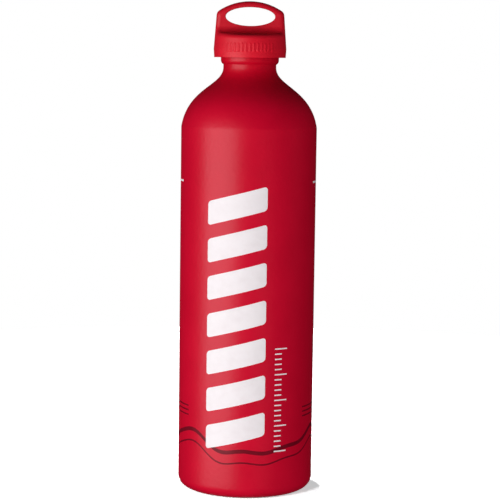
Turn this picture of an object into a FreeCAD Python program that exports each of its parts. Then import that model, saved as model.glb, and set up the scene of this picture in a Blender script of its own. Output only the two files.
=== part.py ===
import FreeCAD, Part
import math
import os

from FreeCAD import Vector

# A camping fuel bottle of about 1.5 litres with a push-and-turn cap.
# Millimetres, +Z up, origin at the centre of the base, on the ground.
# The flat of the cap's carrying loop faces -Y and +Y.

# Bottle shell
body_radius = 44.5
body_height = 239.3  # ground to the crease under the shoulder
wall = 0.9
base_wall = 1.6
base_corner = 7.6
foot_width = 4.0  # flat ring that the bottle stands on
foot_inner_round = 1.2
dome_height = 9.0  # the base is pushed in by this much
shoulder_height = 39.0
shoulder_lean = 9.2  # degrees from upright, at the crease
shoulder_pull = 25.9  # how far the crease's tangent holds the curve
throat_pull = 12.3
throat_radius = 17.3
throat_height = 1.8
neck_wall = 1.4
collar_step = 1.7  # the collar stands out from the throat by this much
collar_round = 3.2
collar_height = 8.2
rim_round = 1.0

# Threaded bush held in the neck by the rolled rim
bush_sleeve = 4.5  # length below the seat
bush_wall = 1.35
bush_fit = 0.05

# Right-hand thread of bush and plug
thread_pitch = 3.0
thread_depth = 1.3
thread_crest = 0.5
thread_flank = 30.0  # degrees
thread_gap = 0.3  # between crest and root
thread_play = 0.25  # between flanks

# Plug
plug_wall = 3.0
plug_floor = 2.2
flange_height = 3.0
vent_width = 2.5
lip_gap = 1.0  # between the plug's thread and the rolled rim

# Seal ring, squeezed between rim and flange
seal_height = 1.8
seal_width = 2.4
seal_gap = 0.25

# Drive dogs, which mesh when the cap is pressed down
dog_count = 12
dog_height = 1.8
dog_depth = 1.9
dog_width = 4.2
dog_rest_gap = 0.4
dog_side_gap = 0.5
press_stop_gap = 0.2

# Cap shell
skirt_wall = 3.15
skirt_overlap = 3.65  # the skirt reaches below the rim by this much
skirt_barrel = 5.6  # the skirt is widest this far above its lower edge
skirt_tuck = 0.35
skirt_draft = 4.3  # degrees
top_wall = 3.7
shelf_slope = 6.0  # degrees
shelf_fillet = 4.5
loop_thickness = 8.0
loop_top_radius = 37.0
loop_corner = 4.0
loop_edge = 3.0
loop_band = 3.7  # over the hole
hole_width = 32.3
hole_height = 12.3
hole_rise = 6.1  # shelf edge to the hole
hole_edge = 0.4
core_width = 3.0  # slot that keeps the moulding's walls even
core_length = 26.0
core_roof = 3.0
rib_count = 13  # grip ribs, front and back
rib_step = 6.2  # degrees
rib_width = 1.6
rib_height = 5.6
rib_relief = 0.2
rib_drop = 5.0  # shelf edge to the ribs

# Retaining ring, which carries the plug in the shell
ring_height = 1.3
ring_bite = 0.6  # depth in the skirt's groove
ring_gap = 0.1
ring_clear = 0.45  # round the bottle's collar
ring_split = 6.0
ring_fit = 0.05
flange_lap = 0.85  # the flange covers the ring by this much
flange_gap = 0.3

# Spring and its thrust washer
spring_wire = 1.4
spring_turns = 5
spring_gap = 0.4  # round the coil
washer_height = 0.8
washer_inset = 2.6  # bore radius less than the spring's outer radius

# Heights of the bottle
crease_z = body_height
throat_z = crease_z + shoulder_height
collar_z = throat_z + throat_height
rim_z = collar_z + collar_height
seat_z = collar_z + neck_wall
bush_top_z = rim_z - neck_wall
bush_end_z = seat_z - bush_sleeve

# Radii from the neck inwards
throat_bore = throat_radius - neck_wall
collar_radius = throat_radius + collar_step
collar_bore = collar_radius - neck_wall
sleeve_radius = throat_bore - bush_fit
female_major = sleeve_radius - bush_wall
male_major = female_major - thread_gap
male_minor = male_major - thread_depth
female_minor = male_minor + thread_gap
lip_radius = male_major + lip_gap
well_radius = male_minor - plug_wall

# Radii from the neck outwards
ring_inner = collar_radius + ring_clear
flange_radius = ring_inner + flange_lap
skirt_bore = flange_radius + flange_gap
skirt_radius = skirt_bore + skirt_wall
ring_outer = skirt_bore + ring_bite
dog_inner = skirt_bore - dog_depth

# The seal lies in the middle of the rim's flat top
rim_flat_inner = lip_radius + neck_wall / 2
rim_flat_outer = collar_radius - rim_round
seal_radius = (rim_flat_inner + rim_flat_outer) / 2
seal_inner = seal_radius - seal_width / 2
seal_outer = seal_radius + seal_width / 2
register_radius = seal_inner - seal_gap

# Heights of the cap, at rest
flange_z = rim_z + seal_height
flange_top_z = flange_z + flange_height
ceiling_z = flange_top_z + dog_rest_gap + dog_height
press_travel = ceiling_z - flange_top_z - press_stop_gap
shelf_z = ceiling_z + top_wall
skirt_z = rim_z - skirt_overlap
hole_z = shelf_z + hole_rise + hole_height / 2
apex_z = hole_z + hole_height / 2 + loop_band
ring_top_z = flange_z - ring_gap
register_z = rim_z + seal_gap
thread_top_z = register_z - thread_pitch  # a plain neck, one pitch long, ends the groove
well_z = bush_end_z + plug_floor
washer_z = ceiling_z - washer_height


def at(radius, height):
    return Vector(radius, 0, height)


def line(start, end):
    return Part.LineSegment(start, end).toShape()


def arc(centre, radius, start, end):
    # Angles in degrees in the XZ plane, from +X towards +Z
    points = []
    for share in (0.0, 0.5, 1.0):
        angle = math.radians(start + (end - start) * share)
        points.append(centre + Vector(radius * math.cos(angle), 0, radius * math.sin(angle)))
    return Part.Arc(*points).toShape()


def bezier(*poles):
    curve = Part.BezierCurve()
    curve.setPoles(list(poles))
    return curve.toShape()


def polyline(points, closed=False):
    ends = points[1:] + points[:1] if closed else points[1:]
    return [line(start, end) for start, end in zip(points, ends)]


def revolve(edges):
    face = Part.Face(Part.Wire(edges))
    return face.revolve(Vector(0, 0, 0), Vector(0, 0, 1), 360)


def turned(points):
    return revolve(polyline([at(radius, height) for radius, height in points], closed=True))


def around(shape, angle):
    copy = shape.copy()
    copy.rotate(Vector(0, 0, 0), Vector(0, 0, 1), angle)
    return copy


def block(inner, outer, width, bottom, top):
    # A bar that points along +X from one radius to another
    corner = Vector(inner, -width / 2, bottom)
    return Part.makeBox(outer - inner, width, top - bottom, corner)


def helical_bar(inner, inner_width, outer, outer_width, start_z, turns):
    # A trapezoid swept up a right-hand helix, used to cut thread grooves
    helix = Part.makeLongHelix(thread_pitch, thread_pitch * turns, inner, 0)
    helix.translate(Vector(0, 0, start_z))
    corners = [
        at(inner, start_z - inner_width / 2),
        at(outer, start_z - outer_width / 2),
        at(outer, start_z + outer_width / 2),
        at(inner, start_z + inner_width / 2),
    ]
    profile = Part.Wire(polyline(corners, closed=True))
    return Part.Wire(helix.Edges).makePipeShell([profile], True, True)


def ridge_width(radius):
    # Axial width of the plug's thread ridge at a radius
    return thread_crest + 2 * (male_major - radius) * math.tan(math.radians(thread_flank))


def shoulder(radius, crease, throat):
    # The curve from the crease up to the throat, for either skin
    lean = math.radians(shoulder_lean)
    low = at(radius, crease)
    high = at(throat, throat_z)
    low_hold = low + Vector(-math.sin(lean), 0, math.cos(lean)) * shoulder_pull
    return bezier(low, low_hold, high - Vector(0, 0, throat_pull), high)


def base_dome(skin):
    # Dome and inner foot round, from the axis out to the foot; skin is the depth into the wall
    foot_round = base_wall + foot_inner_round
    foot_inner = body_radius - base_corner - foot_width
    reach = (foot_inner ** 2 + dome_height ** 2) / (2 * dome_height)
    dome_radius = reach - foot_round
    centre = at(0, dome_height - dome_radius)
    foot_centre = at(foot_inner, foot_round)
    lean = math.degrees(math.atan2(foot_centre.z - centre.z, foot_inner))
    dome = arc(centre, dome_radius + skin, 90, lean)
    foot = arc(foot_centre, foot_round - skin, lean + 180, 270)
    return [dome, foot]


def bottle_body():
    # One drawn aluminium shell: domed base, wall, shoulder, throat, collar and rolled rim
    inside = body_radius - wall
    inner_corner = base_corner - base_wall
    inner_crease = crease_z - neck_wall / 2
    foot_inner = body_radius - base_corner - foot_width
    collar_lean = math.degrees(math.acos(1 - collar_step / collar_round))
    collar_top = collar_z + collar_round * math.sin(math.radians(collar_lean))
    lip_centre = at(lip_radius + neck_wall / 2, rim_z - neck_wall / 2)
    outer = base_dome(0)
    outer.append(line(at(foot_inner, 0), at(body_radius - base_corner, 0)))
    outer.append(arc(at(body_radius - base_corner, base_corner), base_corner, -90, 0))
    outer.append(line(at(body_radius, base_corner), at(body_radius, crease_z)))
    outer.append(shoulder(body_radius, crease_z, throat_radius))
    outer.append(line(at(throat_radius, throat_z), at(throat_radius, collar_z)))
    outer.append(arc(at(collar_radius - collar_round, collar_top), collar_round, -collar_lean, 0))
    outer.append(line(at(collar_radius, collar_top), at(collar_radius, rim_z - rim_round)))
    outer.append(arc(at(rim_flat_outer, rim_z - rim_round), rim_round, 0, 90))
    outer.append(line(at(rim_flat_outer, rim_z), at(rim_flat_inner, rim_z)))
    outer.append(arc(lip_centre, neck_wall / 2, 90, 270))
    inner = polyline([
        at(rim_flat_inner, bush_top_z),
        at(collar_bore, bush_top_z),
        at(collar_bore, seat_z),
        at(throat_bore, seat_z),
        at(throat_bore, throat_z),
    ])
    inner.append(shoulder(inside, inner_crease, throat_bore))
    inner.append(line(at(inside, inner_crease), at(inside, base_wall + inner_corner)))
    inner.append(arc(at(inside - inner_corner, base_wall + inner_corner), inner_corner, 0, -90))
    inner.append(line(at(inside - inner_corner, base_wall), at(foot_inner, base_wall)))
    inner += base_dome(base_wall)[::-1]
    axis = line(at(0, dome_height + base_wall), at(0, dome_height))
    return revolve(Part.__sortEdges__(outer + inner + [axis]))


def neck_bush():
    # Flanged bush with an internal thread, open at both ends
    lead = thread_depth + thread_gap
    flange = collar_bore - bush_fit
    bush = turned([
        (female_minor, bush_end_z),
        (sleeve_radius, bush_end_z),
        (sleeve_radius, seat_z),
        (flange, seat_z),
        (flange, bush_top_z),
        (female_minor + lead, bush_top_z),
        (female_minor, bush_top_z - lead),
    ])
    inner = female_minor - thread_gap
    inner_width = ridge_width(inner) + 2 * thread_play
    outer_width = ridge_width(female_major) + 2 * thread_play
    turns = math.ceil((bush_top_z - bush_end_z) / thread_pitch) + 2
    groove = helical_bar(inner, inner_width, female_major, outer_width, bush_end_z - thread_pitch, turns)
    return bush.cut(groove)


def cap_plug():
    # Threaded plug with a toothed flange, a well for the spring and two vent slots
    lead = thread_depth + thread_gap
    plug = turned([
        (0, bush_end_z),
        (male_major - lead, bush_end_z),
        (male_major, bush_end_z + lead),
        (male_major, thread_top_z),
        (male_minor - thread_gap, thread_top_z),
        (male_minor - thread_gap, register_z),
        (register_radius, register_z),
        (register_radius, flange_z),
        (flange_radius, flange_z),
        (flange_radius, flange_top_z),
        (well_radius, flange_top_z),
        (well_radius, well_z),
        (0, well_z),
    ])
    outer = male_major + thread_gap
    root_width = thread_pitch - ridge_width(male_minor)
    mouth_width = thread_pitch - ridge_width(outer)
    start_z = bush_end_z - thread_pitch / 2
    turns = (register_z - thread_pitch / 2 - start_z) / thread_pitch
    plug = plug.cut(helical_bar(male_minor, root_width, outer, mouth_width, start_z, turns))
    vent = block(male_minor, outer, vent_width, bush_end_z, thread_top_z)
    plug = plug.cut(vent).cut(around(vent, 180))
    notch_inner = dog_inner - flange_gap
    notch_width = dog_width + 2 * dog_side_gap
    notch = block(notch_inner, skirt_bore, notch_width, flange_z, flange_top_z)
    for index in range(dog_count):
        plug = plug.cut(around(notch, 360 * index / dog_count))
    return plug


def cap_seal():
    # Round-section ring squeezed flat above and below
    bulge = seal_height / 3
    flat = seal_width / 2 - bulge
    middle = flange_z - seal_height / 2
    low_inner = at(seal_radius - flat, rim_z)
    low_outer = at(seal_radius + flat, rim_z)
    high_inner = at(seal_radius - flat, flange_z)
    high_outer = at(seal_radius + flat, flange_z)
    return revolve([
        line(low_inner, low_outer),
        Part.Arc(low_outer, at(seal_outer, middle), high_outer).toShape(),
        line(high_outer, high_inner),
        Part.Arc(high_inner, at(seal_inner, middle), low_inner).toShape(),
    ])


def skirt_at(height):
    # Outer radius of the cap above its widest place
    rise = height - skirt_z - skirt_barrel
    return skirt_radius - rise * math.tan(math.radians(skirt_draft))


def shelf_side():
    # Side outline of the cap: skirt below, sloping shelves, and the loop standing between them
    slope = math.radians(shelf_slope)
    edge = skirt_at(shelf_z)
    face = loop_thickness / 2
    centre_y = face + shelf_fillet
    centre_z = shelf_z + (edge - centre_y) * math.tan(slope) + shelf_fillet / math.cos(slope)
    low_y = centre_y - shelf_fillet * math.sin(slope)
    low_z = centre_z - shelf_fillet * math.cos(slope)
    outside = skirt_radius + skirt_wall
    outside_z = shelf_z - (outside - edge) * math.tan(slope)
    mid = math.radians(225 - shelf_slope / 2)
    mid_point = Vector(0, centre_y + shelf_fillet * math.cos(mid), centre_z + shelf_fillet * math.sin(mid))
    edges = []
    for side in (-1, 1):
        low = Vector(0, side * low_y, low_z)
        high = Vector(0, side * face, centre_z)
        middle = Vector(0, side * mid_point.y, mid_point.z)
        edges.append(line(Vector(0, side * outside, skirt_z), Vector(0, side * outside, outside_z)))
        edges.append(line(Vector(0, side * outside, outside_z), low))
        edges.append(Part.Arc(low, middle, high).toShape())
        edges.append(line(high, Vector(0, side * face, apex_z + loop_band)))
    edges.append(line(Vector(0, -outside, skirt_z), Vector(0, outside, skirt_z)))
    edges.append(line(Vector(0, -face, apex_z + loop_band), Vector(0, face, apex_z + loop_band)))
    face_yz = Part.Face(Part.Wire(Part.__sortEdges__(edges)))
    face_yz.translate(Vector(-outside, 0, 0))
    return face_yz.extrude(Vector(2 * outside, 0, 0))


def loop_front():
    # Front outline of the cap: straight sides well outside it, and the arched top
    half = skirt_radius + skirt_wall
    centre_z = apex_z - loop_top_radius
    spring_z = centre_z + math.sqrt(loop_top_radius ** 2 - half ** 2)
    left = at(-half, spring_z)
    right = at(half, spring_z)
    edges = polyline([left, at(-half, skirt_z), at(half, skirt_z), right])
    edges.append(Part.Arc(right, at(0, apex_z), left).toShape())
    face_xz = Part.Face(Part.Wire(edges))
    face_xz.translate(Vector(0, -half, 0))
    return face_xz.extrude(Vector(0, 2 * half, 0))


def sharp_edges(shape, test):
    # Edges whose two faces meet at an angle, where the middle of the edge passes the test
    chosen = []
    for edge in shape.Edges:
        low, high = edge.ParameterRange
        middle = edge.valueAt((low + high) / 2)
        faces = shape.ancestorsOfType(edge, Part.Face)
        if len(faces) != 2 or not test(middle):
            continue
        normals = [face.normalAt(*face.Surface.parameter(middle)) for face in faces]
        if abs(normals[0].dot(normals[1])) < 0.99:
            chosen.append(edge)
    return chosen


def cap_outside():
    # The moulded outside of the cap: a drafted skirt that rises into a flat loop with rounded edges
    top = apex_z + loop_band
    cone = turned([
        (0, skirt_z),
        (skirt_radius - skirt_tuck, skirt_z),
        (skirt_radius, skirt_z + skirt_barrel),
        (skirt_at(top), top),
        (0, top),
    ])
    cap = around(cone, 90).common(loop_front())
    cap = cap.makeFillet(loop_corner, sharp_edges(cap, lambda point: point.z > hole_z))
    cap = cap.common(shelf_side())
    cap = cap.makeFillet(loop_edge, sharp_edges(cap, lambda point: point.z > shelf_z - top_wall))
    hole = Part.Ellipse(at(hole_width / 2, hole_z), at(0, hole_z + hole_height / 2), at(0, hole_z)).toShape()
    hole.translate(Vector(0, -loop_thickness, 0))
    hole = Part.Face(Part.Wire([hole])).extrude(Vector(0, 2 * loop_thickness, 0))
    cap = cap.cut(hole)
    return cap.makeFillet(hole_edge, sharp_edges(cap, lambda point: point.z > shelf_z))


def grip_rib():
    # A shallow round rib along the drafted skirt, on the +X side
    bend = (rib_width ** 2 / 4 + rib_relief ** 2) / (2 * rib_relief)
    depth = bend - rib_relief
    high_z = shelf_z - rib_drop - rib_width / 2
    low_z = high_z - rib_height + rib_width
    low = at(skirt_at(low_z) - depth, low_z)
    high = at(skirt_at(high_z) - depth, high_z)
    rod = Part.makeCylinder(bend, (high - low).Length, low, high - low)
    return rod.fuse([Part.makeSphere(bend, low), Part.makeSphere(bend, high)])


def cap_shell():
    # The moulded cap: skirt, loop, grip ribs, and inside it the dogs and the ring's groove
    shell = cap_outside()
    rib = grip_rib()
    for side in (-90, 90):
        for index in range(rib_count):
            shell = shell.fuse(around(rib, side + rib_step * (index - (rib_count - 1) / 2)))
    groove_end = ring_top_z - ring_height - ring_fit
    shell = shell.cut(turned([
        (0, skirt_z - ring_bite),
        (skirt_bore + 2 * ring_bite, skirt_z - ring_bite),
        (skirt_bore, skirt_z + ring_bite),
        (skirt_bore, groove_end),
        (ring_outer + ring_fit, groove_end),
        (ring_outer + ring_fit, ring_top_z + ring_fit),
        (skirt_bore, ring_top_z + ring_fit),
        (skirt_bore, ceiling_z),
        (0, ceiling_z),
    ]))
    core_top = hole_z - hole_height / 2 - core_roof
    shell = shell.cut(block(-core_length / 2, core_length / 2, core_width, ceiling_z, core_top))
    dog_outer = skirt_bore + ring_bite
    dog = block(dog_inner, dog_outer, dog_width, ceiling_z - dog_height, ceiling_z + top_wall / 2)
    for index in range(dog_count):
        shell = shell.fuse(around(dog, 360 * index / dog_count))
    return shell.removeSplitter()


def retaining_ring():
    # Split snap ring
    bottom = ring_top_z - ring_height
    ring = turned([
        (ring_inner, bottom),
        (ring_outer, bottom),
        (ring_outer, ring_top_z),
        (ring_inner, ring_top_z),
    ])
    split = block(0, skirt_radius, ring_split, bottom, ring_top_z)
    return ring.cut(around(split, 90))


def coil_point(turn, low, pitch, radius):
    angle = 2 * math.pi * turn
    return Vector(radius * math.cos(angle), radius * math.sin(angle), low + pitch * turn)


def coil_tangent(turn, pitch, radius):
    angle = 2 * math.pi * turn
    tangent = Vector(-radius * math.sin(angle), radius * math.cos(angle), pitch / (2 * math.pi))
    return tangent.normalize()


def tangent_arc(start, corner, end):
    # The arc from start to end whose end tangents meet at the corner
    middle = (start + end) / 2
    half = (end - start).Length / 2
    rise = (corner - middle).Length
    side = (corner - start).Length
    return Part.Arc(start, middle + (corner - middle) * (half * (side - half) / rise ** 2), end).toShape()


def cap_spring():
    # Open coil with ground ends, on pairs of tangent arcs, a quarter turn to each pair
    outer = well_radius - spring_gap
    radius = outer - spring_wire / 2
    low = well_z + spring_wire / 4
    pitch = (washer_z - well_z - spring_wire / 2) / spring_turns
    edges = []
    for quarter in range(4 * spring_turns):
        start = coil_point(quarter / 4, low, pitch, radius)
        end = coil_point(quarter / 4 + 0.25, low, pitch, radius)
        start_way = coil_tangent(quarter / 4, pitch, radius)
        end_way = coil_tangent(quarter / 4 + 0.25, pitch, radius)
        chord = end - start
        ways = start_way + end_way
        bend = 1 - start_way.dot(end_way)
        along = chord.dot(ways)
        hold = (math.sqrt(along ** 2 + 2 * bend * chord.dot(chord)) - along) / (2 * bend)
        corner = start + start_way * hold
        far_corner = end - end_way * hold
        join = (corner + far_corner) / 2
        edges.append(tangent_arc(start, corner, join))
        edges.append(tangent_arc(join, far_corner, end))
    wire_start = coil_point(0, low, pitch, radius)
    section = Part.makeCircle(spring_wire / 2, wire_start, coil_tangent(0, pitch, radius))
    coil = Part.Wire(edges).makePipeShell([Part.Wire([section])], True)
    lean = math.cos(math.atan2(pitch, 2 * math.pi * radius))
    print(f"spring: least gap between turns {pitch * lean - spring_wire:.2f} mm")
    reach = 2 * outer
    room = Part.makeBox(reach, reach, washer_z - well_z, Vector(-outer, -outer, well_z))
    return coil.common(room)


def spring_washer():
    outer = well_radius - spring_gap
    return turned([
        (outer - washer_inset, washer_z),
        (outer, washer_z),
        (outer, ceiling_z),
        (outer - washer_inset, ceiling_z),
    ])


def export(name, shape):
    if len(shape.Solids) != 1 or not shape.isValid():
        raise ValueError(f"{name} is not one valid solid: {len(shape.Solids)} solids")
    shape.Solids[0].exportStep(f"parts/{name}.step")
    box = shape.BoundBox
    print(f"{name}: {shape.Volume / 1000:.2f} ml, z {box.ZMin:.2f} to {box.ZMax:.2f}")


os.makedirs("parts", exist_ok=True)
export("bottle_body", bottle_body())
export("neck_thread_bush", neck_bush())
export("cap_seal", cap_seal())
export("cap_plug", cap_plug())
export("cap_spring", cap_spring())
export("spring_washer", spring_washer())
export("retaining_ring", retaining_ring())
export("cap_shell", cap_shell())
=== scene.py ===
import math

import bpy
import numpy as np
from mathutils import Matrix


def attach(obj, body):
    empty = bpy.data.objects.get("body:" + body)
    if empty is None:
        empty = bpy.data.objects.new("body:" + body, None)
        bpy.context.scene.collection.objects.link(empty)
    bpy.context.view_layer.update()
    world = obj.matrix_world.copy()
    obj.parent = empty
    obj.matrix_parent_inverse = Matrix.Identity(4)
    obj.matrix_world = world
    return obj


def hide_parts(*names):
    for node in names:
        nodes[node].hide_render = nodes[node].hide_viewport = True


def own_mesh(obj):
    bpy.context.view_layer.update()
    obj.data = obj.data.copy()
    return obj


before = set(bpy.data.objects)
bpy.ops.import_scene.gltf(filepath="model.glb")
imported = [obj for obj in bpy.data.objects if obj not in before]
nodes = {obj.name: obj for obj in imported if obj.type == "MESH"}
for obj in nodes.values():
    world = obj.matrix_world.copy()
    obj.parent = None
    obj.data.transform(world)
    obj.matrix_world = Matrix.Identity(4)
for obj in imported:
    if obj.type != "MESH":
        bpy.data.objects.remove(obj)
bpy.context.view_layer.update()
scene = bpy.context.scene
mm = 0.001  # lengths of the object and the camera are written in millimetres
print("frame:", ", ".join(sorted(nodes)))


# Small helpers

def hexColour(code):  # sRGB hex to linear RGBA
    parts = np.array([int(code[i:i + 2], 16) for i in (1, 3, 5)]) / 255
    linear = np.where(parts <= 0.04045, parts / 12.92, ((parts + 0.055) / 1.055) ** 2.4)
    return (*linear.tolist(), 1.0)


def addNode(tree, kind, inputs=None, ramp=(), **settings):
    # a socket, or a node's first output in use, is linked; any other value is set on the input itself
    node = tree.nodes.new(kind)
    for key, value in settings.items():
        setattr(node, key, value)
    if ramp:
        for element, (position, code) in zip(node.color_ramp.elements, ramp):
            element.position = position
            element.color = hexColour(code)
    for key, value in (inputs or {}).items():
        if isinstance(value, bpy.types.Node):
            value = next(output for output in value.outputs if output.enabled)
        if isinstance(value, bpy.types.NodeSocket):
            tree.links.new(value, node.inputs[key])
        else:
            node.inputs[key].default_value = value
    return node


def newMaterial(name):
    material = bpy.data.materials.new(name)
    material.use_nodes = True
    tree = material.node_tree
    tree.nodes.clear()
    place = addNode(tree, "ShaderNodeTexCoord").outputs["Object"]
    return material, tree, place


def closeMaterial(tree, shader):
    addNode(tree, "ShaderNodeOutputMaterial", {"Surface": shader})


def perMm(size):  # noise scale for a grain of this many millimetres
    return 1 / (size * mm)


def addPiece(name, points, faces, materials, body, faceSlots=None, crease=35):
    # points in metres, faces as lists of corners, crease in degrees; the object stays at the origin
    mesh = bpy.data.meshes.new(name)
    mesh.from_pydata(points.tolist(), [], faces)
    for material in materials:
        mesh.materials.append(material)
    if faceSlots is not None:
        mesh.polygons.foreach_set("material_index", faceSlots)
    mesh.shade_smooth()
    mesh.set_sharp_from_angle(angle=math.radians(crease))
    mesh.update()
    piece = bpy.data.objects.new(name, mesh)
    scene.collection.objects.link(piece)
    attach(piece, body)
    return piece


# Camera, fitted to the outline of the bottle

cameraSet = {
    "distance": 1175.0, "height": 285.75, "tilt": 6.204, "roll": 0.741,  # tilt and roll in degrees
    "lens": 128.6, "sensor": 36, "shift": 0.0051,
}
cameraData = bpy.data.cameras.new("camera")
cameraData.sensor_width = cameraSet["sensor"]
cameraData.lens = cameraSet["lens"]
cameraData.shift_x = cameraSet["shift"]
camera = bpy.data.objects.new("camera", cameraData)
scene.collection.objects.link(camera)
tilt = Matrix.Rotation(math.radians(90 - cameraSet["tilt"]), 4, "X")
roll = Matrix.Rotation(math.radians(cameraSet["roll"]), 4, "Z")
spot = Matrix.Translation((0, -cameraSet["distance"] * mm, cameraSet["height"] * mm))
camera.matrix_world = spot @ tilt @ roll
scene.camera = camera
print("camera: set")


# Materials

def makeBottleCoat():
    # Satin polyester powder coat baked on aluminium: deep red, a broad soft gloss and a faint orange peel
    material, tree, place = newMaterial("powder_coat_red_satin")
    cloud = addNode(tree, "ShaderNodeTexNoise", {"Vector": place, "Scale": perMm(26), "Detail": 3.0})
    tone = addNode(tree, "ShaderNodeValToRGB", {"Fac": cloud}, ramp=[(0.35, "#d0042b"), (0.68, "#d7062e")])
    gloss = addNode(tree, "ShaderNodeMapRange", {"Value": cloud, "To Min": 0.35, "To Max": 0.40})
    # the peel is about 1 mm across in life, coarser here to show
    peel = addNode(tree, "ShaderNodeTexNoise", {"Vector": place, "Scale": perMm(2.4), "Detail": 3.0})
    relief = addNode(tree, "ShaderNodeBump", {"Height": peel, "Strength": 0.7, "Distance": 0.18 * mm})
    height = addNode(tree, "ShaderNodeSeparateXYZ", {"Vector": place}).outputs["Z"]
    # painted shade: the coat's tone is darker towards the neck, under the cap
    neck = addNode(tree, "ShaderNodeMapRange", {
        "Value": height, "From Min": 252 * mm, "From Max": 274 * mm, "To Max": 0.75})
    neckPaintedShade = addNode(tree, "ShaderNodeMix", {"Factor": neck, "A": tone, "B": hexColour("#c20320")},
                   data_type="RGBA")
    # the foot is rubbed pale in patches
    foot = addNode(tree, "ShaderNodeMapRange", {
        "Value": height, "From Min": 2.6 * mm, "From Max": 0.2 * mm, "To Max": 0.6})
    scuff = addNode(tree, "ShaderNodeTexNoise", {"Vector": place, "Scale": perMm(1.6), "Detail": 4.0})
    rub = addNode(tree, "ShaderNodeMapRange", {"Value": scuff, "From Min": 0.45, "From Max": 0.62})
    worn = addNode(tree, "ShaderNodeMath", {0: foot, 1: rub}, operation="MULTIPLY")
    colour = addNode(tree, "ShaderNodeMix", {"Factor": worn, "A": neckPaintedShade, "B": hexColour("#c98a8f")},
                     data_type="RGBA")
    shader = addNode(tree, "ShaderNodeBsdfPrincipled", {
        "Base Color": colour, "Roughness": gloss, "Normal": relief, "IOR": 1.5, "Specular IOR Level": 0.27})
    closeMaterial(tree, shader)
    return material


def makeBareAluminium():
    # Drawn and turned aluminium: dull silver with fine rings from the lathe
    material, tree, place = newMaterial("turned_aluminium")
    height = addNode(tree, "ShaderNodeSeparateXYZ", {"Vector": place}).outputs["Z"]
    rings = addNode(tree, "ShaderNodeTexNoise", {"W": height, "Scale": perMm(0.35), "Detail": 2.0},
                    noise_dimensions="1D")
    smear = addNode(tree, "ShaderNodeTexNoise", {"Vector": place, "Scale": perMm(9), "Detail": 3.0})
    tone = addNode(tree, "ShaderNodeValToRGB", {"Fac": smear}, ramp=[(0, "#b4b7ba"), (1, "#d4d6d8")])
    gloss = addNode(tree, "ShaderNodeMapRange", {"Value": rings, "To Min": 0.26, "To Max": 0.42})
    relief = addNode(tree, "ShaderNodeBump", {"Height": rings, "Strength": 0.3, "Distance": 0.02 * mm})
    shader = addNode(tree, "ShaderNodeBsdfPrincipled", {
        "Base Color": tone, "Metallic": 1.0, "Roughness": gloss, "Normal": relief})
    closeMaterial(tree, shader)
    return material


def makeCapPlastic():
    # Moulded polypropylene with a spark-eroded skin: warmer red than the coat, fine matte grain
    material, tree, place = newMaterial("moulded_polypropylene_red")
    cloud = addNode(tree, "ShaderNodeTexNoise", {"Vector": place, "Scale": perMm(14), "Detail": 3.0})
    tone = addNode(tree, "ShaderNodeValToRGB", {"Fac": cloud}, ramp=[(0.3, "#e0142b"), (0.7, "#e81a32")])
    # the grit is about 0.1 mm across in life, coarser here to show
    grit = addNode(tree, "ShaderNodeTexNoise", {"Vector": place, "Scale": perMm(0.9), "Detail": 2.0})
    matte = addNode(tree, "ShaderNodeMapRange", {"Value": grit, "To Min": 0.40, "To Max": 0.52})
    relief = addNode(tree, "ShaderNodeBump", {"Height": grit, "Strength": 0.7, "Distance": 0.16 * mm})
    # the loop is handled most, so it is smoother
    height = addNode(tree, "ShaderNodeSeparateXYZ", {"Vector": place}).outputs["Z"]
    handled = addNode(tree, "ShaderNodeMapRange", {
        "Value": height, "From Min": 302 * mm, "From Max": 316 * mm, "To Max": 0.07})
    gloss = addNode(tree, "ShaderNodeMath", {0: matte, 1: handled}, operation="SUBTRACT")
    # painted shade: the plastic is darker in tone from 301 mm up, over the loop
    loopPaintedShade = addNode(tree, "ShaderNodeMapRange", {
        "Value": height, "From Min": 301 * mm, "From Max": 307 * mm, "To Max": 0.7})
    colour = addNode(tree, "ShaderNodeMix", {"Factor": loopPaintedShade, "A": tone, "B": hexColour("#cc1026")},
                     data_type="RGBA")
    shader = addNode(tree, "ShaderNodeBsdfPrincipled", {
        "Base Color": colour, "Roughness": gloss, "Normal": relief, "IOR": 1.49, "Specular IOR Level": 0.3})
    closeMaterial(tree, shader)
    return material


def makePlugPlastic():
    # Acetal: near black, smooth from the mould with a soft sheen
    material, tree, place = newMaterial("moulded_acetal_black")
    cloud = addNode(tree, "ShaderNodeTexNoise", {"Vector": place, "Scale": perMm(5), "Detail": 3.0})
    tone = addNode(tree, "ShaderNodeValToRGB", {"Fac": cloud}, ramp=[(0, "#1d1e20"), (1, "#2a2b2d")])
    gloss = addNode(tree, "ShaderNodeMapRange", {"Value": cloud, "To Min": 0.28, "To Max": 0.40})
    grit = addNode(tree, "ShaderNodeTexNoise", {"Vector": place, "Scale": perMm(0.4), "Detail": 2.0})
    relief = addNode(tree, "ShaderNodeBump", {"Height": grit, "Strength": 0.15, "Distance": 0.02 * mm})
    shader = addNode(tree, "ShaderNodeBsdfPrincipled", {
        "Base Color": tone, "Roughness": gloss, "Normal": relief, "IOR": 1.48})
    closeMaterial(tree, shader)
    return material


def makeSealRubber():
    # Fuel-proof nitrile rubber: dull charcoal with a bloom of grey
    material, tree, place = newMaterial("nitrile_rubber_black")
    bloom = addNode(tree, "ShaderNodeTexNoise", {"Vector": place, "Scale": perMm(3), "Detail": 4.0})
    tone = addNode(tree, "ShaderNodeValToRGB", {"Fac": bloom}, ramp=[(0, "#161616"), (1, "#2c2c2b")])
    gloss = addNode(tree, "ShaderNodeMapRange", {"Value": bloom, "To Min": 0.55, "To Max": 0.75})
    grit = addNode(tree, "ShaderNodeTexNoise", {"Vector": place, "Scale": perMm(0.25), "Detail": 2.0})
    relief = addNode(tree, "ShaderNodeBump", {"Height": grit, "Strength": 0.3, "Distance": 0.03 * mm})
    shader = addNode(tree, "ShaderNodeBsdfPrincipled", {
        "Base Color": tone, "Roughness": gloss, "Normal": relief, "IOR": 1.52})
    closeMaterial(tree, shader)
    return material


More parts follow.
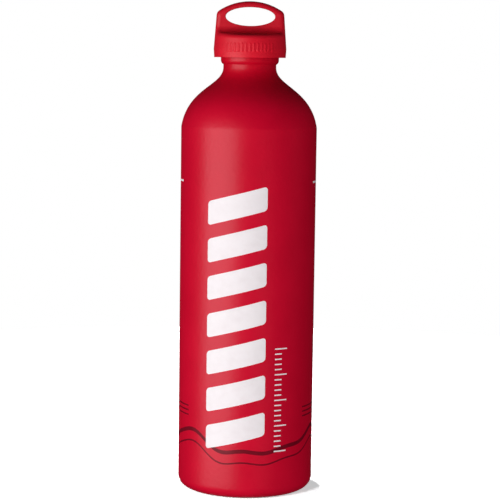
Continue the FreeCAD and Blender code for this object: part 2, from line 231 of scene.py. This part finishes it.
def makeSpringSteel():
    # Stainless spring wire and stampings: grey metal, mottled and worn dull from drawing
    material, tree, place = newMaterial("drawn_stainless_steel")
    mottle = addNode(tree, "ShaderNodeTexNoise", {"Vector": place, "Scale": perMm(0.5), "Detail": 3.0})
    tone = addNode(tree, "ShaderNodeValToRGB", {"Fac": mottle}, ramp=[(0, "#8d8f91"), (1, "#bcbec0")])
    gloss = addNode(tree, "ShaderNodeMapRange", {"Value": mottle, "To Min": 0.22, "To Max": 0.38})
    relief = addNode(tree, "ShaderNodeBump", {"Height": mottle, "Strength": 0.2, "Distance": 0.01 * mm})
    shader = addNode(tree, "ShaderNodeBsdfPrincipled", {
        "Base Color": tone, "Metallic": 1.0, "Roughness": gloss, "Normal": relief})
    closeMaterial(tree, shader)
    return material


def makePrintInk(name, dark, light, rough):
    # Epoxy screen-print ink: flat, uneven where the squeegee thins it and a trace of the coat comes through
    material, tree, place = newMaterial(name)
    cloud = addNode(tree, "ShaderNodeTexNoise", {"Vector": place, "Scale": perMm(6), "Detail": 4.0})
    tone = addNode(tree, "ShaderNodeValToRGB", {"Fac": cloud}, ramp=[(0.3, dark), (0.6, light)])
    gloss = addNode(tree, "ShaderNodeMapRange", {"Value": cloud, "To Min": rough, "To Max": rough + 0.1})
    weave = addNode(tree, "ShaderNodeTexNoise", {"Vector": place, "Scale": perMm(0.5), "Detail": 2.0})
    relief = addNode(tree, "ShaderNodeBump", {"Height": weave, "Strength": 0.2, "Distance": 0.02 * mm})
    shader = addNode(tree, "ShaderNodeBsdfPrincipled", {
        "Base Color": tone, "Roughness": gloss, "Normal": relief, "IOR": 1.5, "Specular IOR Level": 0.2})
    closeMaterial(tree, shader)
    return material


bottleCoat = makeBottleCoat()
bareAluminium = makeBareAluminium()
capPlastic = makeCapPlastic()
plugPlastic = makePlugPlastic()
sealRubber = makeSealRubber()
springSteel = makeSpringSteel()
whiteInk = makePrintInk("screen_print_ink_white", "#faf1f4", "#fff7fa", 0.5)
maroonInk = makePrintInk("screen_print_ink_maroon", "#72061b", "#7a0a20", 0.40)
for name, material in {
    "neck_thread_bush": bareAluminium, "cap_seal": sealRubber, "cap_plug": plugPlastic,
    "spring_washer": springSteel, "retaining_ring": springSteel, "cap_shell": capPlastic,
}.items():
    nodes[name].material_slots[0].material = material
print("materials: set")


# Bottle shell: the drawn profile turned round the axis, coat outside and bare metal from the rim inwards

shellSet = {
    "radius": 44.5, "crease": 239.3, "wall": 0.9, "baseWall": 1.6, "baseCorner": 7.6, "footWidth": 4.0,
    "footRound": 1.2, "dome": 9.0, "shoulder": 39.0, "lean": 9.2, "shoulderPull": 25.9, "throatPull": 12.3,
    "throat": 17.3, "throatHeight": 1.8, "neckWall": 1.4, "collarStep": 1.7, "collarRound": 3.2,
    "collarHeight": 8.2, "rimRound": 1.0, "lip": 15.2, "creaseBand": 1.0, "segments": 192,
}


def arcRun(centre, radius, start, end, count):  # centre plus radius times the cosine and sine of the angle
    angle = np.radians(np.linspace(start, end, count))
    return np.stack([centre[0] + radius * np.cos(angle), centre[1] + radius * np.sin(angle)], 1)


def lineRun(start, end, count):  # start and end mixed by a share that grows from 0 to 1
    share = np.linspace(0, 1, count)[:, None]
    return (1 - share) * np.array(start) + share * np.array(end)


def shoulderRun(low, high, count):
    # cubic Bezier: four poles weighted by the cube and square products of t and 1 - t
    lean = math.radians(shellSet["lean"])
    poles = np.array([low, (low[0] - shellSet["shoulderPull"] * math.sin(lean),
                            low[1] + shellSet["shoulderPull"] * math.cos(lean)),
                      (high[0], high[1] - shellSet["throatPull"]), high])
    t = np.linspace(0, 1, count)[:, None]
    weights = np.hstack([(1 - t) ** 3, 3 * t * (1 - t) ** 2, 3 * t ** 2 * (1 - t), t ** 3])
    return weights @ poles


def shellProfile():
    # radius and height of the skin, from the middle of the base outside, over the rim, to the middle inside;
    # the last number of each run counts its points
    s = shellSet
    foot = s["radius"] - s["baseCorner"] - s["footWidth"]
    footRound = s["baseWall"] + s["footRound"]
    domeRound = (foot ** 2 + s["dome"] ** 2) / (2 * s["dome"]) - footRound
    domeMid = s["dome"] - domeRound
    lean = math.degrees(math.atan2(footRound - domeMid, foot))
    throatZ = s["crease"] + s["shoulder"]
    collarZ = throatZ + s["throatHeight"]
    rimZ = collarZ + s["collarHeight"]
    collar = s["throat"] + s["collarStep"]
    collarLean = math.degrees(math.acos(1 - s["collarStep"] / s["collarRound"]))
    collarTop = collarZ + s["collarRound"] * math.sin(math.radians(collarLean))
    lipMid = s["lip"] + s["neckWall"] / 2
    inside = s["radius"] - s["wall"]
    innerCorner = s["baseCorner"] - s["baseWall"]
    innerCrease = s["crease"] - s["neckWall"] / 2
    throatBore = s["throat"] - s["neckWall"]
    collarBore = collar - s["neckWall"]
    seat = collarZ + s["neckWall"]
    underRim = rimZ - s["neckWall"]
    bandZ = s["crease"] - s["creaseBand"]  # a narrow row under the crease keeps it crisp
    coated = [
        arcRun((0, domeMid), domeRound, 90, lean, 20),
        arcRun((foot, footRound), footRound, lean + 180, 270, 8),
        lineRun((foot, 0), (foot + s["footWidth"], 0), 3),
        arcRun((s["radius"] - s["baseCorner"], s["baseCorner"]), s["baseCorner"], -90, 0, 14),
        lineRun((s["radius"], s["baseCorner"]), (s["radius"], bandZ), 46),
        lineRun((s["radius"], bandZ), (s["radius"], s["crease"]), 3),
        shoulderRun((s["radius"], s["crease"]), (s["throat"], throatZ), 56),
        lineRun((s["throat"], throatZ), (s["throat"], collarZ), 3),
        arcRun((collar - s["collarRound"], collarTop), s["collarRound"], -collarLean, 0, 9),
        lineRun((collar, collarTop), (collar, rimZ - s["rimRound"]), 5),
        arcRun((collar - s["rimRound"], rimZ - s["rimRound"]), s["rimRound"], 0, 90, 8),
    ]
    bare = [
        lineRun((collar - s["rimRound"], rimZ), (lipMid, rimZ), 4),
        arcRun((lipMid, rimZ - s["neckWall"] / 2), s["neckWall"] / 2, 90, 270, 10),
        lineRun((lipMid, underRim), (collarBore, underRim), 3),
        lineRun((collarBore, underRim), (collarBore, seat), 4),
        lineRun((collarBore, seat), (throatBore, seat), 3),
        lineRun((throatBore, seat), (throatBore, throatZ), 3),
        shoulderRun((inside, innerCrease), (throatBore, throatZ), 40)[::-1],
        lineRun((inside, innerCrease), (inside, s["baseWall"] + innerCorner), 24),
        arcRun((inside - innerCorner, s["baseWall"] + innerCorner), innerCorner, 0, -90, 10),
        lineRun((inside - innerCorner, s["baseWall"]), (foot, s["baseWall"]), 3),
        arcRun((foot, footRound), footRound - s["baseWall"], 270, lean + 180, 5),
        arcRun((0, domeMid), domeRound + s["baseWall"], lean, 90, 16),
    ]
    rows = [run[1:] if index else run for index, run in enumerate(coated + bare)]
    return np.concatenate(rows), sum(len(run) for run in rows[:len(coated)])


def makeBottleShell():
    # turned surface: x = r sin a, y = -r cos a, z = z over the profile's rows and the angle's columns
    profile, coatedRows = shellProfile()
    columns = shellSet["segments"]
    angle = np.linspace(0, 2 * np.pi, columns, endpoint=False)
    ring = np.stack([np.sin(angle), -np.cos(angle)], 1)
    middle = profile[1:-1]
    skin = np.concatenate([
        middle[:, None, :1] * ring[None], np.repeat(middle[:, None, 1:], columns, 1)], 2).reshape(-1, 3)
    points = np.concatenate([[(0, 0, profile[0, 1])], skin, [(0, 0, profile[-1, 1])]]) * mm
    index = 1 + np.arange(len(skin)).reshape(-1, columns)
    beside = np.roll(index, -1, 1)
    quads = np.stack([index[:-1], beside[:-1], beside[1:], index[1:]], 2)
    first = np.stack([np.zeros(columns, int), beside[0], index[0]], 1)
    last = np.stack([index[-1], beside[-1], np.full(columns, len(points) - 1)], 1)
    slots = np.repeat(np.arange(len(quads)) >= coatedRows - 2, columns).astype(int)
    faceSlots = np.concatenate([np.zeros(columns, int), slots, np.ones(columns, int)])
    faces = first.tolist() + quads.reshape(-1, 4).tolist() + last.tolist()
    skins = [bottleCoat, bareAluminium]
    shell = addPiece("bottle_shell", points, faces, skins, "bottle", faceSlots)
    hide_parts("bottle_body")


makeBottleShell()
print("bottle shell: turned")


# Coil spring in the cap, which shortens as the cap is pressed in life; here it is wound at one length

coilSet = {
    "low": 279.2, "high": 294.5, "wire": 1.4, "radius": 8.8, "turns": 5, "press": 2.0,
    "perTurn": 48, "sides": 16,
}


def makeCoil():
    # a circle of the wire's radius carried along a helix; heights past both ends are cut flat, as ground
    c = coilSet
    pitch = (c["high"] - c["low"] - c["wire"] / 2) / c["turns"]
    lean = math.atan2(pitch, 2 * math.pi * c["radius"])
    turn = np.linspace(0, 2 * np.pi * c["turns"], c["turns"] * c["perTurn"] + 1)[:, None]
    around = np.linspace(0, 2 * np.pi, c["sides"], endpoint=False)[None]
    out = c["radius"] + c["wire"] / 2 * np.cos(around)
    up = c["wire"] / 2 * np.sin(around)
    x = out * np.cos(turn) + up * math.sin(lean) * np.sin(turn)
    y = out * np.sin(turn) - up * math.sin(lean) * np.cos(turn)
    z = c["low"] + c["wire"] / 4 + pitch * turn / (2 * np.pi) + up * math.cos(lean)
    points = np.stack([x, y, np.clip(z, c["low"], c["high"])], 2).reshape(-1, 3) * mm
    index = np.arange(len(points)).reshape(len(turn), -1)
    beside = np.roll(index, -1, 1)
    quads = np.stack([index[:-1], index[1:], beside[1:], beside[:-1]], 2).reshape(-1, 4)
    faces = quads.tolist() + [index[0].tolist(), index[-1, ::-1].tolist()]
    coil = addPiece("coil_spring", points, faces, [springSteel], "spring")
    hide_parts("cap_spring")
    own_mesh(coil)


makeCoil()
print("coil spring: wound")


# Prints: thin ink patches wrapped round the wall, in millimetres of arc from the front and of height

inkSet = {"lift": 0.06, "sink": 0.05, "step": 0.9, "rows": 3, "cornerColumns": 7}


def inkPatch(arc, low, high, lift, ring=False):
    # x = r sin a, y = -r cos a, z from low to high, over the arc's columns and a few rows; an outer and an
    # inner skin, joined round the border, or along the two borders of a ring
    share = np.linspace(0, 1, inkSet["rows"])[:, None]
    bottom = np.broadcast_to(low, arc.shape)
    z = bottom + share * (high - bottom)
    turn = np.broadcast_to(arc / shellSet["radius"], z.shape)
    skins = []
    for radius in (shellSet["radius"] + lift, shellSet["radius"] - inkSet["sink"]):
        skins.append(np.stack([radius * np.sin(turn), -radius * np.cos(turn), z], 2).reshape(-1, 3))
    count = z.size
    index = np.arange(count).reshape(z.shape)
    if ring:
        index = np.hstack([index, index[:, :1]])
        border = np.concatenate([index[0, :-1], index[-1, :0:-1]])
        after = np.concatenate([index[0, 1:], index[-1, -2::-1]])
    else:
        border = np.concatenate([index[0, :-1], index[:-1, -1], index[-1, :0:-1], index[:0:-1, 0]])
        after = np.roll(border, -1)
    quads = np.stack([index[:-1, :-1], index[:-1, 1:], index[1:, 1:], index[1:, :-1]], 2).reshape(-1, 4)
    edge = np.stack([border, border + count, after + count, after], 1)
    return np.concatenate(skins) * mm, np.concatenate([quads, quads[:, ::-1] + count, edge])


def arcColumns(left, right, corner=0.0):
    # even columns, with closer ones inside the rounded corners
    count = max(3, int((right - left) / inkSet["step"]))
    columns = np.linspace(left, right, count)
    if corner:
        ends = corner * (1 - np.cos(np.linspace(0, np.pi / 2, inkSet["cornerColumns"])))
        inner = columns[(columns > left + corner) & (columns < right - corner)]
        columns = np.concatenate([left + ends, inner, right - ends[::-1]])
    return columns


def addPrint(name, patches, ink):
    points, faces, start = [], [], 0
    for patchPoints, patchFaces in patches:
        points.append(patchPoints)
        faces.append(patchFaces + start)
        start += len(patchPoints)
    addPiece(name, np.concatenate(points), np.concatenate(faces).tolist(), [ink], "bottle")


barSet = {
    "count": 7, "low": 45.0, "high": 190.5, "left": -27.0, "right": 12.6, "tall": 15.4, "slope": 0.26,
    "corner": 2.2,
}


def makeBars():
    # slanted bars: the middle line rises with the arc, and the half height shrinks on a quarter circle
    # at both ends
    b = barSet
    arc = arcColumns(b["left"], b["right"], b["corner"])
    near = np.minimum(arc - b["left"], b["right"] - arc)
    bite = np.clip(b["corner"] - near, 0, b["corner"])
    half = b["tall"] / 2 - b["corner"] + np.sqrt(b["corner"] ** 2 - bite ** 2)
    slant = (arc - (b["left"] + b["right"]) / 2) * b["slope"]
    middles = np.linspace(b["low"], b["high"], b["count"])
    patches = [inkPatch(arc, z + slant - half, z + slant + half, inkSet["lift"]) for z in middles]
    addPrint("print_bars", patches, whiteInk)


tickSet = {
    "count": 21, "low": 31.5, "high": 98.5, "left": 19.2, "short": 5.0, "long": 9.0, "longEvery": 5,
    "thick": 0.85,
}


def makeTicks():
    # a plain rule: bars at even heights, each of one length or the other
    t = tickSet
    patches = []
    for number, z in enumerate(np.linspace(t["low"], t["high"], t["count"])):
        length = t["long"] if number % t["longEvery"] == 0 else t["short"]
        arc = arcColumns(t["left"], t["left"] + length)
        patches.append(inkPatch(arc, z - t["thick"] / 2, z + t["thick"] / 2, inkSet["lift"]))
    addPrint("print_ticks", patches, whiteInk)


lineSet = {"height": 204.6, "thick": 1.3, "from": 71.0}  # from in degrees either way from the front


def makeBackLine():
    # one level line round the back, which ends short of the front on both sides
    start = math.radians(lineSet["from"]) * shellSet["radius"]
    end = math.radians(360 - lineSet["from"]) * shellSet["radius"]
    low = lineSet["height"] - lineSet["thick"] / 2
    patch = inkPatch(arcColumns(start, end), low, low + lineSet["thick"], inkSet["lift"])
    addPrint("print_line", [patch], whiteInk)


waveSet = {
    "height": 35.0, "thick": 2.6, "gap": 8.0, "thin": 1.04, "lift": 0.03,
    "swells": [(6.0, 3, -2.0), (2.6, 5, 0.6), (1.2, 9, 2.2)],  # rise, waves in a turn, shift in radians
}


def makeWaves():
    # two rings round the wall whose height is a sum of three sines of the turn
    w = waveSet
    halfTurn = math.pi * shellSet["radius"]
    arc = arcColumns(-halfTurn, halfTurn)[:-1]
    turn = arc / shellSet["radius"]
    middle = w["height"] + sum(rise * np.sin(waves * turn + shift) for rise, waves, shift in w["swells"])
    lower = middle - w["gap"]
    patches = [
        inkPatch(arc, middle - w["thick"] / 2, middle + w["thick"] / 2, w["lift"], ring=True),
        inkPatch(arc, lower, lower + w["thin"], w["lift"], ring=True),
    ]
    addPrint("print_waves", patches, maroonInk)


ruleSet = {"count": 3, "height": 57.6, "gap": 3.0, "thick": 0.9, "from": 44.0, "to": 64.0, "lastCut": 5.0}


def makeRules():
    # short level lines on each side, the lowest cut shorter
    r = ruleSet
    patches = []
    for side in (-1, 1):
        for number in range(r["count"]):
            far = r["to"] - r["lastCut"] * (number == r["count"] - 1)
            arc = arcColumns(*sorted((side * r["from"], side * far)))
            low = r["height"] - number * r["gap"]
            patches.append(inkPatch(arc, low, low + r["thick"], inkSet["lift"]))
    addPrint("print_rules", patches, maroonInk)


makeBars()
makeTicks()
makeBackLine()
makeWaves()
makeRules()
print("prints: wrapped")


# Studio, in metres: a white floor with lights of its own, and lamps all round the bottle

floorSet = {"radius": 0.7, "drop": 0.0001, "sides": 96, "lift": 0.5, "shade": "#f0ffff", "dust": 6.0}


def makeFloor():
    # a disc: radius times cosine and sine of the angle; white to the camera with the shadow kept,
    # and other rays pass it by, so the lights may stand low
    f = floorSet
    material, tree, place = newMaterial("studio_floor_white")
    dust = addNode(tree, "ShaderNodeTexNoise", {"Vector": place, "Scale": f["dust"]})
    tone = addNode(tree, "ShaderNodeValToRGB", {"Fac": dust}, ramp=[(0, "#f6f6f6"), (1, "#ffffff")])
    seen = addNode(tree, "ShaderNodeBsdfDiffuse", {"Color": tone})
    lift = addNode(tree, "ShaderNodeEmission", {"Color": hexColour(f["shade"]), "Strength": f["lift"]})
    closeMaterial(tree, addNode(tree, "ShaderNodeAddShader", {0: seen, 1: lift}))
    angle = np.linspace(0, 2 * np.pi, f["sides"], endpoint=False)
    rim = f["radius"] * np.stack([np.cos(angle), np.sin(angle), 0 * angle], 1)
    rim[:, 2] = -f["drop"]  # a hair below the foot, so the two faces don't share a plane
    mesh = bpy.data.meshes.new("studio_floor")
    mesh.from_pydata(rim.tolist(), [], [list(range(len(rim)))])
    mesh.materials.append(material)
    floor = bpy.data.objects.new("studio_floor", mesh)
    floor.visible_diffuse = False
    floor.visible_glossy = False
    floor.visible_shadow = False
    scene.collection.objects.link(floor)
    return floor


# the gloss sees mirror at the front, fading to dark where a ray's Y reaches side or its Z reaches ceiling
roomSet = {
    "mirror": 0.17, "dark": 0.01, "front": -0.45, "side": 0.15, "level": 0.1, "ceiling": 0.55,
    "ambient": 0.02,
}


def makeWorld():
    # white behind the bottle; its gloss sees a dim room, as the photographed one does, and the rest is a
    # low even light
    r = roomSet
    world = bpy.data.worlds.new("studio")
    scene.world = world
    world.use_nodes = True
    tree = world.node_tree
    tree.nodes.clear()
    path = addNode(tree, "ShaderNodeLightPath").outputs
    ray = addNode(tree, "ShaderNodeTexCoord").outputs["Generated"]
    aim = addNode(tree, "ShaderNodeSeparateXYZ", {"Vector": ray}).outputs
    front = addNode(tree, "ShaderNodeMapRange", {
        "Value": aim["Y"], "From Min": r["side"], "From Max": r["front"]})
    level = addNode(tree, "ShaderNodeMapRange", {
        "Value": aim["Z"], "From Min": r["ceiling"], "From Max": r["level"]})
    share = addNode(tree, "ShaderNodeMath", {0: front, 1: level}, operation="MULTIPLY")
    gloss = addNode(tree, "ShaderNodeMapRange", {"Value": share, "To Min": r["dark"], "To Max": r["mirror"]})
    hidden = addNode(tree, "ShaderNodeMapRange", {
        "Value": path["Is Glossy Ray"], "To Min": r["ambient"], "To Max": gloss})
    seen = addNode(tree, "ShaderNodeMath", {0: path["Is Camera Ray"], 1: path["Is Transmission Ray"]},
                   operation="MAXIMUM")
    strength = addNode(tree, "ShaderNodeMapRange", {"Value": seen, "To Min": hidden, "To Max": 1.0})
    back = addNode(tree, "ShaderNodeBackground", {"Color": (1, 1, 1, 1), "Strength": strength})
    addNode(tree, "ShaderNodeOutputWorld", {"Surface": back})


def facing(azimuth, elevation):  # turns a lamp to look inwards from this side
    turn = Matrix.Rotation(math.radians(azimuth), 4, "Z")
    return turn @ Matrix.Rotation(math.radians(90 - elevation), 4, "X")


floorLightSet = {  # azimuth from the camera's side towards +X, elevation, spread in degrees, power
    "floor_light": (-130, 88.0, 0.6, 4.0),
    "floor_fill": (-34, 25, 10, 3.2),
}


def makeFloorLight(name, azimuth, elevation, spread, power):
    # parallel: one nearly overhead draws the shadow, and one low at the front left clears it from under the
    # foot there, so that a thin wedge is left at the right
    data = bpy.data.lights.new(name, "SUN")
    data.angle = math.radians(spread)
    data.energy = power
    light = bpy.data.objects.new(name, data)
    light.matrix_world = facing(azimuth, elevation)
    light.visible_glossy = False
    scene.collection.objects.link(light)
    return light


lampSet = {
    "aim": 0.16, "reach": 1.3,  # height of the point that the lamps look at, and their distance from it
    "lamps": {  # azimuth from the camera's side towards +X, elevation, width, height, watts, seen in gloss
        "key_softbox": (-48.5, -2, 1.40, 0.95, 16.8, True),
        "floor_bounce": (26, -12, 0.7, 0.5, 6.0, False),
        "side_fill": (88, 3, 0.55, 0.55, 2.0, False),
        "back_fill": (180, 5, 0.5, 0.8, 13.0, False),
    },
}


def makeLamp(name, azimuth, elevation, width, tall, power, gloss):
    # on a sphere round the aim point, looking at it
    data = bpy.data.lights.new(name, "AREA")
    data.shape = "RECTANGLE"
    data.size = width
    data.size_y = tall
    data.energy = power
    lamp = bpy.data.objects.new(name, data)
    middle = Matrix.Translation((0, 0, lampSet["aim"]))
    lamp.matrix_world = middle @ facing(azimuth, elevation) @ Matrix.Translation((0, 0, lampSet["reach"]))
    lamp.visible_camera = False
    lamp.visible_glossy = gloss
    scene.collection.objects.link(lamp)
    return lamp


floor = makeFloor()
makeWorld()
lamps = {name: makeLamp(name, *settings) for name, settings in lampSet["lamps"].items()}
# the floor's own lights draw its shadow and miss the bottle
floorOnly = bpy.data.collections.new("floor_only")
floorOnly.objects.link(floor)
for name, settings in floorLightSet.items():
    makeFloorLight(name, *settings).light_linking.receiver_collection = floorOnly
# the light from behind leaves the floor alone
allButFloor = bpy.data.collections.new("all_but_floor")
allButFloor.objects.link(floor)
allButFloor.collection_objects[0].light_linking.link_state = "EXCLUDE"
lamps["back_fill"].light_linking.receiver_collection = allButFloor
scene.view_settings.view_transform = "Standard"
print("studio: set")
